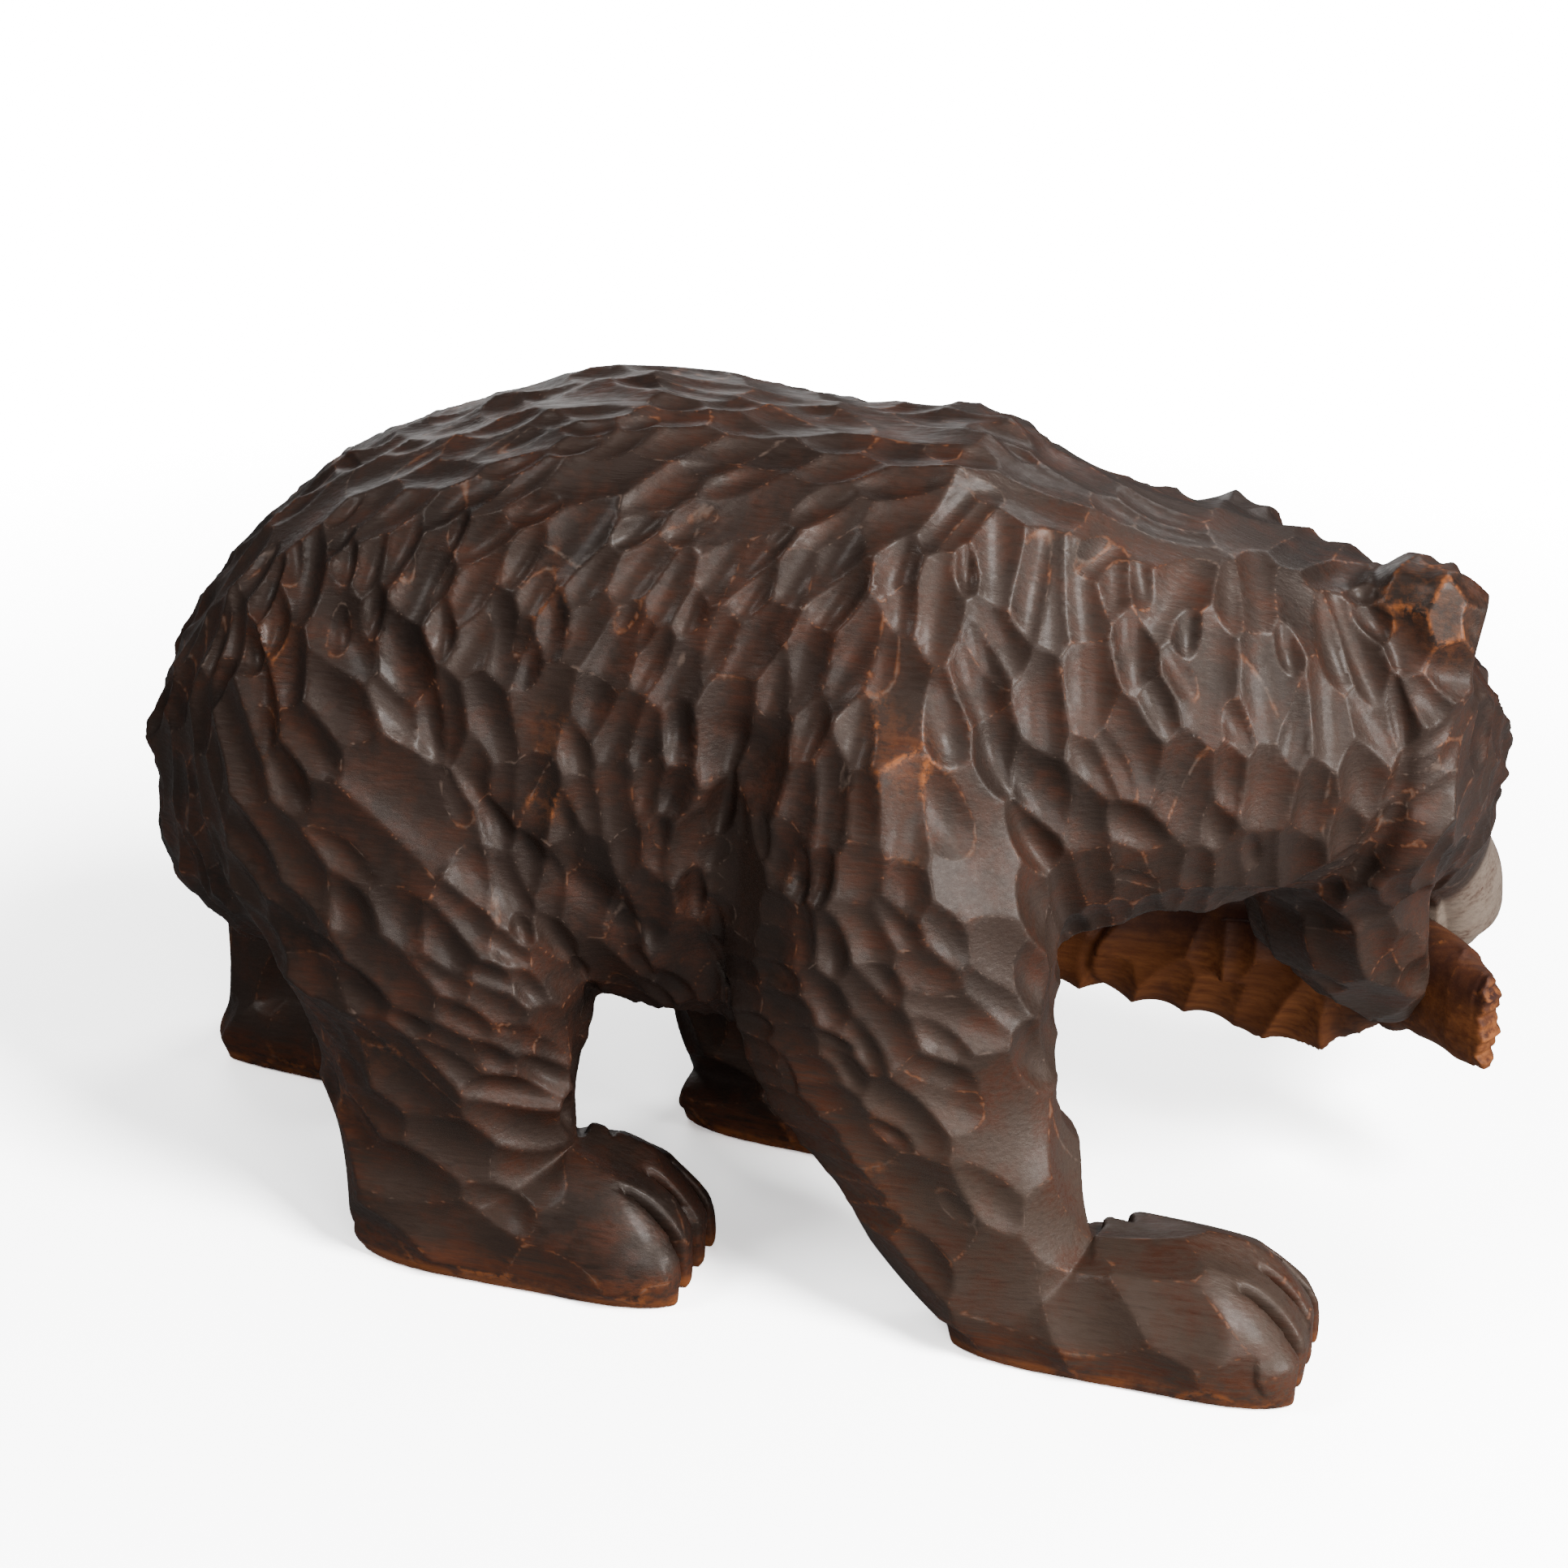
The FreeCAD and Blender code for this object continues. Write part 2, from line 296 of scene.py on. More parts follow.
# Which way the cuts run: place from the belly's middle, then direction. Mirrored to the left side.
FLANK_GUIDES = (
    (-43, -45, 196, -10, 0, -6), (-60, -40, 196, -10, 0, -7), (-90, -30, 186, -10, 0, -12),
    (-100, -50, 166, 7, 0, -10), (-95, -55, 150, 8, 0, -8), (-92, -58, 130, 10, 0, -6),
    (-84, -58, 105, 10, 0, -4), (-72, -58, 88, 10, 0, -4), (-86, -55, 164, 0, 0, -10),
    (-72, -55, 155, 1, 0, -10), (-55, -52, 176, -2, 0, -10), (-43, -50, 188, -5, 0, -9),
    (-56, -56, 138, -3, 0, -10), (-63, -56, 110, -3, 0, -9), (-30, -56, 150, -1, 0, -10),
    (-30, -54, 110, 2, 0, -10), (-10, -52, 130, -2, 0, -10), (-125, -30, 155, 1, 3, -10),
    (-128, -38, 125, 1, 0, -10), (-112, -50, 90, 4, 0, -10), (30, -44, 196, -7, 0, -8),
    (15, -50, 170, -5, 0, -9), (38, -50, 186, 2, 0, -10), (54, -50, 168, 6, 0, -9),
    (24, -56, 143, 0, 0, -10), (36, -56, 130, 0, 0, -10), (8, -56, 125, -4, 0, -8),
    (4, -58, 100, -1, 0, -10), (51, -54, 136, 8, 0, -8), (65, -48, 120, 8, 0, -8),
    (42, -56, 100, 10, 0, -5), (80, -36, 160, 2, 0, -10), (92, -28, 150, 1, 0, -10),
    (0, 0, 200, -10, 0, 0), (-50, 0, 202, -10, 0, 0), (40, 0, 198, -10, 0, 2), (-100, 0, 182, -10, 0, -5),
    (-140, 0, 150, -3, 0, -10), (-152, 0, 115, 0, 0, -10), (70, 5, 188, -10, 0, 3),
    (-20, 0, 58, -10, 0, 0), (60, 0, 88, 5, 0, -4),
    (-70, -58, 50, 9, 0, -6), (-75, -58, 32, 9, 0, -5), (-45, -50, 60, 9, 0, -6),
    (30, -60, 70, 9, 0, -7), (44, -60, 50, 8, 0, -8), (56, -60, 34, 8, 0, -7), (66, -30, 60, 3, 0, -10),
    (5, -56, 60, 5, 0, -9), (22, -58, 34, 7, 0, -8), (-104, -52, 50, 3, 0, -10),
    (-50, -40, 20, 10, 0, 1), (90, -40, 22, 10, 0, 0), (-140, -45, 50, -4, 0, -9), (-20, -52, 50, -3, 0, -9),
)
HEAD_GUIDES = (  # ahead, left, height, then direction in the head's frame
    (-5, -38, 150, 0, 0, -10), (0, -38, 120, 1, 0, -10), (0, -34, 100, 1, 0, -10),
    (-5, 0, 172, 10, 0, -2), (15, 0, 155, 8, 0, -6), (25, -28, 130, 4, 2, -9), (25, 28, 130, 4, -2, -9),
    (35, 0, 120, 6, 0, -9), (-5, 38, 150, 0, 0, -10), (0, 38, 120, 1, 0, -10), (48, 0, 95, 5, 0, -9),
    (20, -24, 100, 5, 0, -9), (20, 24, 100, 5, 0, -9), (10, 0, 85, 5, 0, -8),
)


def flow(points, normals, spread_mm=20.0):
    """The cuts' direction at each point, blended from the guides and laid in the surface."""
    total = np.zeros_like(points)
    folded = folded_right(points)
    for x, y, z, dx, dy, dz in FLANK_GUIDES:
        gap = ((folded - (x, y, z)) ** 2).sum(1)
        total += unit(np.array((dx, dy, dz), float)) * np.exp(-gap / (2 * spread_mm ** 2))[:, None]
    skull = ease(along_neck(points), 88, 120) * ease(points[:, 2], 30, 45)
    turned = np.zeros_like(points)
    local = in_head(points)
    for s, l, z, ds, dl, dz in HEAD_GUIDES:
        gap = ((local - (s, l, z)) ** 2).sum(1)
        direction = ds * AHEAD + dl * ASIDE + dz * UP
        turned += unit(direction) * np.exp(-gap / (2 * spread_mm ** 2))[:, None]
    total = unit(total + 1e-12) * (1 - skull)[:, None] + unit(turned + 1e-12) * skull[:, None]
    total -= (total * normals).sum(1, keepdims=True) * normals
    return unit(total)


def cut_sizes(points, normals):
    """Half length, half width and hollow of the cuts at each point."""
    local = in_head(points)
    size = np.empty((len(points), 3))
    size[:] = (7.6, 3.5, 1.05)
    top = ease(normals[:, 2], 0.55, 0.85) * ease(points[:, 2], 120, 150)
    size += top[:, None] * np.array((1.0, 0.1, -0.3))
    x, _, z = points.T
    haunch = ease(-x, 60, 78) * ease(-x, 118, 100) * ease(z, 60, 80) * ease(z, 165, 150)
    arm = ease(x, 25, 45) * ease(-x, -75, -60) * ease(z, 165, 150)
    low = ease(-z, -62, -50)
    bigger = np.clip(haunch + arm + low, 0, 1) * (1 - top)
    size += bigger[:, None] * np.array((3.6, 2.1, 0.3))
    fore = ease(x, 38, 58) * (1 - bigger)
    size += fore[:, None] * np.array((1.8, 1.0, 0.05))
    rump = ease(-x, 112, 128) * ease(z, 50, 70)
    size += rump[:, None] * np.array((1.2, -0.2, 0.0))
    paw = ease(z, PAW_TOP, PAW_TOP - 8)
    size += paw[:, None] * np.array((0.8, 0.8, -0.3))
    head = ease(along_neck(points), 100, 120) * ease(z, 52, 62)
    face = head * ease(local[:, 0], 12, 24) * ease(z, 60, 76)
    size += face[:, None] * np.array((-1.2, -1.8, -0.2))
    muzzle = head * ease(local[:, 0] + 0.45 * (100 - z), 38, 46)
    size += muzzle[:, None] * np.array((3.0, 4.0, -0.5))
    ear = head * ease(z, 156, 162) * ease(np.abs(local[:, 1]), 12, 16)
    size += ear[:, None] * np.array((-3.6, -0.9, 0.1))
    size[:, 2] = np.maximum(size[:, 2] * 1.15, 0.16)
    size[:, :2] = np.maximum(size[:, :2], 2.0)
    return size


# Rows of short scallops along an edge: the edge's points from the belly's middle, spacing,
# half length and half width of a scallop, and the way the scallops run. Both sides.
FRINGES = (
    # along the throat
    (((56, -34, 88), (62, -26, 96), (72, -27, 103), (84, -22, 104), (95, -12, 102), (105, -2, 100)),
     6.0, 5.5, 3.6, (0.25, 0, -1)),
    # round the cheek
    (((105, -2, 100), (116, -4, 107), (127, -2, 118), (135, -2, 130), (140, 8, 139)),
     6.0, 7.0, 3.0, (-0.5, -0.6, -0.6)),
    # above the throat
    (((58, -40, 98), (72, -35, 111), (86, -30, 113), (98, -20, 112), (110, -12, 116)),
     7.5, 7.5, 4.2, (0.2, 0, -1)),
    # behind the fore leg, two rows
    (((-4, -50, 118), (-6, -56, 100), (0, -60, 80), (6, -61, 62), (18, -61, 46), (28, -61, 32)),
     6.5, 6.0, 3.3, (1, 0, 0.15)),
    (((6, -59, 112), (6, -61, 96), (12, -62, 78), (22, -62, 60)),
     7.5, 6.5, 3.6, (1, 0, 0.1)),
    # down the rump and the hind leg's back
    (((-130, -34, 150), (-136, -38, 128), (-128, -48, 104), (-116, -54, 80), (-108, -56, 60),
      (-106, -56, 40)),
     7.0, 7.0, 3.6, (0.3, 0, -1)),
)


# Single cuts: place from the belly's middle, direction, half length, half width, hollow, extra depth.
HAND_CUTS = (
    ((113, -4, 162), (0, 0, -1), 12, 5.0, 2.2, 1.6), ((118, -2, 158), (0.2, 0, -1), 11, 3.2, 2.0, 2.2),
    ((112, -8, 148), (0, 0, -1), 11, 5.0, 1.6, 0.5), ((143, 70, 66), (0.2, 0.4, -0.9), 18, 13, 0.4, 1.8),
    ((129, 6, 171), (0, 0, -1), 5, 4.2, 1.1, 0.5), ((136, 5, 166), (0, 0, -1), 5.5, 4.2, 1.1, 0.5),
    ((129, 3, 161), (0.2, 0, -1), 6, 4.2, 1.1, 0.4), ((138, 4, 156), (0, 0, -1), 6, 4.5, 1.1, 0.4),
)


def even_steps(route, step):
    """Places at even steps along a broken line."""
    route = np.array(route, float)
    legs = np.linalg.norm(np.diff(route, axis=0), axis=1)
    walked = np.concatenate(([0], np.cumsum(legs)))
    stops = np.arange(step / 2, walked[-1], step)
    return np.stack([np.interp(stops, walked, route[:, k]) for k in range(3)], axis=1)


def sow_fringes(gouges, points, normals):
    for route, step, long, wide, way in FRINGES:
        for side in (1, -1):
            for spot in even_steps(route, step) * (1, side, 1):
                gouges.add_by_hand(points, normals, spot, way, long, wide, 0.95, 0.15)


# ------------------------------------------------------------------- the bear

def bump(points, at, size, height):
    """A soft rise or hollow round a place."""
    return height * np.exp(-(((points - at) / size) ** 2).sum(1))


# The face, on each side: place in the head's frame, size, rise.
FACE = (
    ((42, 17, 107), (12, 7, 6), -1.6),  # eye hollow
    ((38, 15, 117), (12, 9, 4.5), 1.8),  # brow
    ((50, 13, 90), (9, 5, 8), -1.2),  # hollow of the cheek
    ((70, 5, 62), (6, 2.2, 2.6), -2.0),  # nostril
    ((60, 13, 56), (7, 4.0, 1.6), -1.3),  # corner of the lips
)
BEAD = (43.2, 17, 106)  # a bead's middle in the head's frame
EYELID = 4.6  # radius of the lid's rim round the bead


def face_shape(points):
    """The face's features, the eyelids and the top of the nose, as height changes."""
    local = in_head(points)
    rise = np.zeros(len(points))
    for side in (-1, 1):
        mirror = (1, side, 1)
        for at, size, height in FACE:
            rise += bump(local, np.multiply(at, mirror), size, height)
        from_bead = np.linalg.norm(local - np.multiply(BEAD, mirror), axis=1)
        rise += 1.1 * np.exp(-(((from_bead - EYELID) / 1.3) ** 2))
    rise += bump(local, (68, 0, 66), (8, 7, 5), 1.4)
    return rise


# Hollows between the muscles: line from the belly's middle, half width, depth. Both sides.
CREASES = (
    (((-70, -54, 132), (-56, -54, 118), (-42, -52, 106), (-26, -48, 94)), 4.0, 3.2),
    (((-118, -46, 158), (-111, -52, 140), (-103, -56, 120), (-95, -58, 100), (-88, -59, 84)), 4.0, 2.6),
    (((-4, -52, 142), (-9, -53, 124), (-12, -52, 104), (-12, -48, 86), (-6, -46, 74)), 5.0, 3.6),
    (((62, -48, 132), (66, -44, 112), (66, -38, 96)), 7.0, 1.2),
    (((38, -34, 201), (28, -50, 176), (33, -57, 148), (25, -58, 120), (16, -58, 98)), 5.5, -1.8),
)
# Swellings: place from the belly's middle, size, rise. Both sides.
MUSCLES = (
    ((-88, -58, 128), (26, 30, 34), 2.2),
    ((-70, -58, 82), (26, 22, 22), 2.4),
    ((30, -56, 130), (24, 30, 36), 2.6),
    ((24, -56, 90), (24, 24, 22), 2.0),
    ((90, -28, 140), (26, 24, 26), 1.4),
    ((44, -18, 203), (11, 16, 9), 2.6),
)


def body_shape(points):
    """Haunch, shoulder and the hollows between them, as height changes."""
    folded = folded_right(points)
    rise = np.zeros(len(points))
    for route, wide, deep in CREASES:
        rise -= deep * np.exp(-((line_gap(folded, route) / wide) ** 2))
    for at, size, height in MUSCLES:
        rise += bump(folded, at, size, height)
    return rise


# Worn places, where the stain has gone: place from the belly's middle, radius, how much.
WORN = (
    # shoulder, from its point up to the withers, then down the arm
    ((34, -57, 145), 8, 1.0), ((29, -56, 152), 6, 0.9), ((24, -54, 160), 5, 0.7),
    ((26, -50, 172), 5, 0.6), ((30, -46, 184), 5, 0.6), ((36, -40, 197), 6, 0.9),
    ((35, -57, 124), 5, 0.8), ((34, -58, 112), 5, 0.8), ((12, -58, 116), 5, 0.6),
    ((14, -58, 104), 5, 0.7), ((10, -60, 92), 4, 0.6), ((22, -60, 88), 5, 0.5),
    # haunch
    ((-112, -50, 150), 8, 0.6), ((-105, -54, 130), 8, 0.7), ((-98, -57, 112), 7, 0.7),
    ((-90, -58, 96), 6, 0.6), ((-84, -58, 80), 6, 0.9),
    # flank and back
    ((-58, -52, 176), 5, 0.8), ((-48, -52, 168), 5, 0.5), ((-44, -48, 196), 5, 0.9),
    ((-46, -56, 142), 5, 0.7), ((-46, -56, 124), 5, 0.8), ((-30, -52, 176), 5, 0.6),
    ((-62, -48, 190), 8, 0.35),
    # ear, neck and cheek
    ((132, 8, 167), 9, 1.0), ((137, 5, 160), 7, 1.0), ((70, -30, 140), 6, 0.5),
    ((124, 4, 128), 5, 0.6), ((128, 10, 118), 4, 0.6),
    # shins
    ((28, -60, 40), 12, 0.5), ((-84, -58, 60), 8, 0.5), ((-96, -56, 40), 8, 0.5),
    ((30, -60, 62), 6, 0.4),
)


# Strips of rough red-brown wood where the stain is rubbed: line and half width.
RUBBED = (
    (((14, -60, 72), (22, -62, 52), (34, -61, 24)), 7.0),
    (((-106, -52, 84), (-103, -57, 58), (-98, -57, 22)), 6.0),
    (((-112, -50, 150), (-100, -57, 118), (-90, -58, 92)), 4.0),
    (((33, -57, 150), (28, -57, 122)), 4.0),
)


def wear(points):
    """How much stain has worn away, from the listed places and along the soles' edges."""
    most = np.zeros(len(points))
    for at, radius, amount in WORN:
        gap = ((points - at) ** 2).sum(1)
        most = np.maximum(most, amount * np.exp(-gap / radius ** 2))
    return np.maximum(most, 0.3 * ease(-points[:, 2], -12, -8) + 1.5 * ease(-points[:, 2], -5.5, -2.2))


# Front edge and middle of each paw.
TOES = ((-16, -40), (-100, 41), (123, -40), (30, 40))


def toes(points):
    """One at the toes, which are grooved and not gouged."""
    x, y, z = points.T
    most = np.zeros(len(points))
    for front, middle in TOES:
        here = ease(x, front - 17, front - 10) * ease(-x, -front - 8, -front - 4)
        here *= ease(-np.abs(y - middle), -28, -24)
        most = np.maximum(most, here * ease(-z, -PAW_TOP, 6 - PAW_TOP))
    return most


def pale_muzzle_and_painted_light(points):
    """Painted light, paler on the fore quarters' right side and down the fore legs; the muzzle palest of
    all.
    """
    local = in_head(points)
    x, y, z = points.T
    # painted light: the right side of the fore quarters a little paler, the fore legs paler downwards
    front = 0.12 * ease(x - 0.15 * z, -12, 26) * ease(-y, -20, 20)
    paws = 0.6 * ease(-z, -100, -30) * ease(x, -20, 20) + 0.12 * ease(-z, -60, -20)
    # the muzzle paler still, but not the tip of the nose
    muzzle = ease(along_neck(points), 100, 120) * ease(local[:, 0] + 0.45 * (100 - z), 44, 54)
    muzzle *= ease(z, 46, 52)
    nose = ease(local[:, 0] - 0.5 * (z - 58), 64.5, 67) * ease(-np.abs(local[:, 1]), -9, -7)
    return np.clip(front + paws, 0, 0.6) + 1.2 * muzzle * (1 - nose)


def store_cuts(mesh, gouges):
    """Stores how near each point is to a ridge, and its cut's tone."""
    _, ridge, tone = gouges.carve(points_of(mesh), normals_of(mesh))
    store(mesh, "ridge", ridge)
    store(mesh, "tone", tone)


def soften_lofts(points, edges):
    """Rounds off the steps between the lofts, but hardly at the paws and the ears."""
    paws = ease(points[:, 2], PAW_TOP, PAW_TOP - 8)
    local = in_head(points)
    ears = ease(points[:, 2], 150, 160) * ease(np.abs(local[:, 1]), 10, 16)
    ears *= ease(local[:, 0], -16, -12)
    give = 1 - 0.85 * paws - 0.6 * ears * (1 - paws)
    points = spread(points, edges, int(46 / COARSE ** 2), 0.5, give)
    heel = (points[:, 0] < HEEL_BACK) & (points[:, 1] > 10) & (points[:, 2] < 40)
    points[heel, 0] = HEEL_BACK + 0.3 * (points[heel, 0] - HEEL_BACK)
    return points


def bear_gouges(points, normals):
    """Listed rows and single cuts, then cuts all over, then small ones over those."""
    along = flow(points, normals)
    size = cut_sizes(points, normals)
    gouges = Gouges(11)
    sow_fringes(gouges, points, normals)
    for cut in HAND_CUTS:
        gouges.add_by_hand(points, normals, *cut)
    gouges.sow(points, normals, along, size, 36000)
    small = size * (1.0, 0.95, 0.9)
    small[(points[:, 2] < PAW_TOP) | (size[:, 2] < 0.85)] = 0
    gouges.sow(points, normals, along, small, 5000, over=True, apart=3.4, deeper=0.3)
    return gouges


def make_bear():
    bear = evened(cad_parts["bear_body"], "bear_carving", 0.78 * COARSE)
    mesh = bear.data
    edges = edges_of(mesh)
    points = soften_lofts(points_of(mesh), edges)
    set_points(mesh, points)
    normals = unit(spread(normals_of(mesh), edges, int(14 / COARSE), 0.5))
    points += normals * (face_shape(points) + body_shape(points))[:, None]
    set_points(mesh, points)
    normals = unit(spread(normals_of(mesh), edges, int(12 / COARSE), 0.5))
    gouges = bear_gouges(points, normals)
    height, _, _ = gouges.carve(points, normals)
    depth_share = ease(points[:, 2], 1.2, 6.0) * (1 - 0.65 * toes(points))
    carved = points + normals * ((height + 0.15) * depth_share)[:, None]
    carved[:, 2] = np.maximum(carved[:, 2], 0.0)
    set_points(mesh, spread(carved, edges, 1, 0.33))
    thinned(bear, BEAR_FACES / COARSE)
    mesh = bear.data
    drop_crumbs(mesh)
    store_cuts(mesh, gouges)
    points = points_of(mesh)
    store(mesh, "wear", wear(points))
    store(mesh, "pale_and_painted_light", pale_muzzle_and_painted_light(points))
    rubbed = [np.exp(-((line_gap(points, route) / wide) ** 2)) for route, wide in RUBBED]
    store(mesh, "sole", np.maximum(ease(-points[:, 2], -13, -7), np.max(rubbed, axis=0)))
    mesh.shade_smooth()
    return bear


# ---------------------------------------------------------------- the salmon

# Places along the fish are to the head's left, from its ragged tail end to its nose.
FISH_TAIL, FISH_NOSE = -35, 94
FISH_GILL = 71
FISH_EYE = (86, 37)  # along the fish, and height
FISH_SPINE = ((FISH_TAIL, 0, 22, 45, FISH_NOSE), (52, 54, 48, 45, 40))  # places, and heights
FISH_FACES = 70000


def make_salmon():
    """The fish: broad slanting cuts, a gill edge, an eye and a ragged tail."""
    salmon = evened(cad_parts["salmon"], "salmon_carving", 0.7 * COARSE)
    mesh = salmon.data
    edges = edges_of(mesh)
    points = spread(points_of(mesh), edges, int(10 / COARSE ** 2), 0.5)
    local = in_head(points)
    along_fish = local[:, 1]
    tail = ease(-along_fish, 30, 36)
    ragged = 0.8 * np.sin(local[:, 2] * 0.7) + 0.5 * np.sin(local[:, 2] * 1.9 + 1)
    points += (ASIDE * (tail * (0.8 + ragged))[:, None])
    set_points(mesh, points)
    normals = unit(spread(normals_of(mesh), edges, int(8 / COARSE), 0.5))
    local = in_head(points)
    gill = along_fish - FISH_GILL + 0.02 * (local[:, 2] - 36) ** 2
    rise = -1.3 * np.exp(-((gill / 1.5) ** 2))
    rise += 1.2 * np.exp(-(((local[:, 1:] - FISH_EYE) / 2.0) ** 2).sum(1))
    mouth = np.exp(-((local[:, 2] - 30.5) / 0.9) ** 2) * ease(along_fish, 84, 88)
    rise -= 1.2 * mouth
    points += normals * rise[:, None]
    lean = np.where(local[:, 0:1] < 30, 1, -1)
    along = UP - ASIDE * 0.4 * lean
    along = unit(along - (along * normals).sum(1, keepdims=True) * normals)
    size = np.empty((len(points), 3))
    size[:] = (15.0, 5.6, 1.5)
    size += ease(along_fish, 68, 74)[:, None] * np.array((-8.0, -1.6, -0.9))
    size += ease(-along_fish, 8, 14)[:, None] * np.array((-3.0, 1.0, -1.1))
    gouges = Gouges(5)
    gouges.sow(points, normals, along, size, 6000)
    height, _, _ = gouges.carve(points, normals)
    height = np.where(local[:, 1] < FISH_TAIL + 4, -0.3, height)
    set_points(mesh, points + normals * (height + 0.3)[:, None])
    thinned(salmon, FISH_FACES / COARSE)
    mesh = salmon.data
    store_cuts(mesh, gouges)
    local = in_head(points_of(mesh))
    spine = np.interp(local[:, 1], *FISH_SPINE)
    chunk = ease(-local[:, 1], 6, 12) * ease(normals_of(mesh)[:, 2], 0.1, 0.45)
    store(mesh, "back", np.maximum(ease(local[:, 2] - spine, -2, 12), chunk))
    store(mesh, "wear", ease(-local[:, 1], 32.5, 35) + ease(local[:, 1], 90, 94))
    store(mesh, "jaw", np.exp(-((np.abs(local[:, 1] + 2) / 15) ** 6)))
    mesh.shade_smooth()
    return salmon


# ------------------------------------------------------------------ the eyes

def make_eye(node):
    """A glass bead with a bulging front; how far each point is from the gaze is stored."""
    low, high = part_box(node)
    middle = np.array((low + high) / 2) / MM - BODY
    radius = (high.x - low.x) / 2 / MM
    mesh = bpy.data.meshes.new(node + "_bead")
    rings, turns = 24, 40
    gaze = unit(AHEAD * 0.75 + ASIDE * (0.6 if node.startswith("left") else -0.6) + UP * 0.25)
    side = unit(np.cross(gaze, UP))
    rise = np.cross(side, gaze)
    spots = [gaze * radius * 1.08]
    polar = [0.0]
    for i in range(1, rings):
        tilt = math.pi * i / rings
        swell = 1 + 0.08 * math.exp(-((tilt / 0.75) ** 2))
        for j in range(turns):
            turn = 2 * math.pi * j / turns
            way = gaze * math.cos(tilt) + (side * math.cos(turn) + rise * math.sin(turn)) * math.sin(tilt)
            spots.append(way * radius * swell)
            polar.append(tilt)
    spots.append(-gaze * radius)
    polar.append(math.pi)
    faces = [(0, 1 + j, 1 + (j + 1) % turns) for j in range(turns)]
    for i in range(rings - 2):
        first = 1 + i * turns
        for j in range(turns):
            k = (j + 1) % turns
            faces.append((first + j, first + turns + j, first + turns + k, first + k))
    last = 1 + (rings - 2) * turns
    faces += [(last + (j + 1) % turns, last + j, len(spots) - 1) for j in range(turns)]
    corners = (np.array(spots) + middle + BODY) * MM
    mesh.from_pydata([tuple(c) for c in corners], [], faces)
    store(mesh, "off_gaze", polar)
    mesh.shade_smooth()
    obj = bpy.data.objects.new(node + "_bead", mesh)
    bpy.context.scene.collection.objects.link(obj)
    return obj


def join_to_frame(piece, node):
    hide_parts(node)
    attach(piece, "root")


bear = make_bear()
salmon = make_salmon()
eyes = [make_eye("right_eye"), make_eye("left_eye")]
join_to_frame(bear, "bear_body")
join_to_frame(salmon, "salmon")
join_to_frame(eyes[0], "right_eye")
join_to_frame(eyes[1], "left_eye")


# ----------------------------------------------------------------- materials

class Nodes:
    """A short way to write a node material."""

    def __init__(self, name):
        self.material = bpy.data.materials.new(name)
        self.material.use_nodes = True
        self.tree = self.material.node_tree
        self.tree.nodes.clear()
        self.shader = self.add("ShaderNodeBsdfPrincipled")
        out = self.add("ShaderNodeOutputMaterial")
        self.link(self.shader.outputs["BSDF"], out.inputs["Surface"])

    def add(self, kind, **settings):
        node = self.tree.nodes.new(kind)
        for key, value in settings.items():
            setattr(node, key, value)
        return node

    def link(self, source, target):
        if isinstance(source, (int, float)):
            target.default_value = source
        elif isinstance(source, tuple):
            target.default_value = source + (1.0,) if len(source) == 3 else source
        else:
            self.tree.links.new(source, target)

    def place(self, scale=(1, 1, 1), turn=(0, 0, 0)):
        """Object coordinates, stretched."""
        coordinates = self.add("ShaderNodeTexCoord")
        mapping = self.add("ShaderNodeMapping")
        mapping.inputs["Scale"].default_value = scale
        mapping.inputs["Rotation"].default_value = turn
        self.link(coordinates.outputs["Object"], mapping.inputs["Vector"])
        return mapping.outputs["Vector"]

    def noise(self, scale, detail=4.0, rough=0.5, where=None, warp=0.0):
        node = self.add("ShaderNodeTexNoise")
        node.inputs["Scale"].default_value = scale
        node.inputs["Detail"].default_value = detail
        node.inputs["Roughness"].default_value = rough
        node.inputs["Distortion"].default_value = warp
        self.link(where or self.place(), node.inputs["Vector"])
        return node.outputs["Fac"]

    def stored(self, name):
        node = self.add("ShaderNodeAttribute", attribute_name=name)
        return node.outputs["Fac"]

    def math(self, how, a, b=0.5, c=0.5):
        node = self.add("ShaderNodeMath", operation=how)
        for value, socket in zip((a, b, c), node.inputs):
            self.link(value, socket)
        return node.outputs[0]

    def remap(self, value, low, high, out_low=0.0, out_high=1.0):
        node = self.add("ShaderNodeMapRange")
        self.link(value, node.inputs["Value"])
        for socket, number in zip(list(node.inputs)[1:5], (low, high, out_low, out_high)):
            socket.default_value = number
        return node.outputs[0]

    def mix(self, amount, a, b):
        node = self.add("ShaderNodeMix", data_type="RGBA")
        self.link(amount, node.inputs[0])
        self.link(a, node.inputs[6])
        self.link(b, node.inputs[7])
        return node.outputs[2]

    def bump(self, height, distance, strength, under=None):
        node = self.add("ShaderNodeBump")
        node.inputs["Distance"].default_value = distance
        node.inputs["Strength"].default_value = strength
        self.link(height, node.inputs["Height"])
        if under is not None:
            self.link(under, node.inputs["Normal"])
        return node.outputs["Normal"]


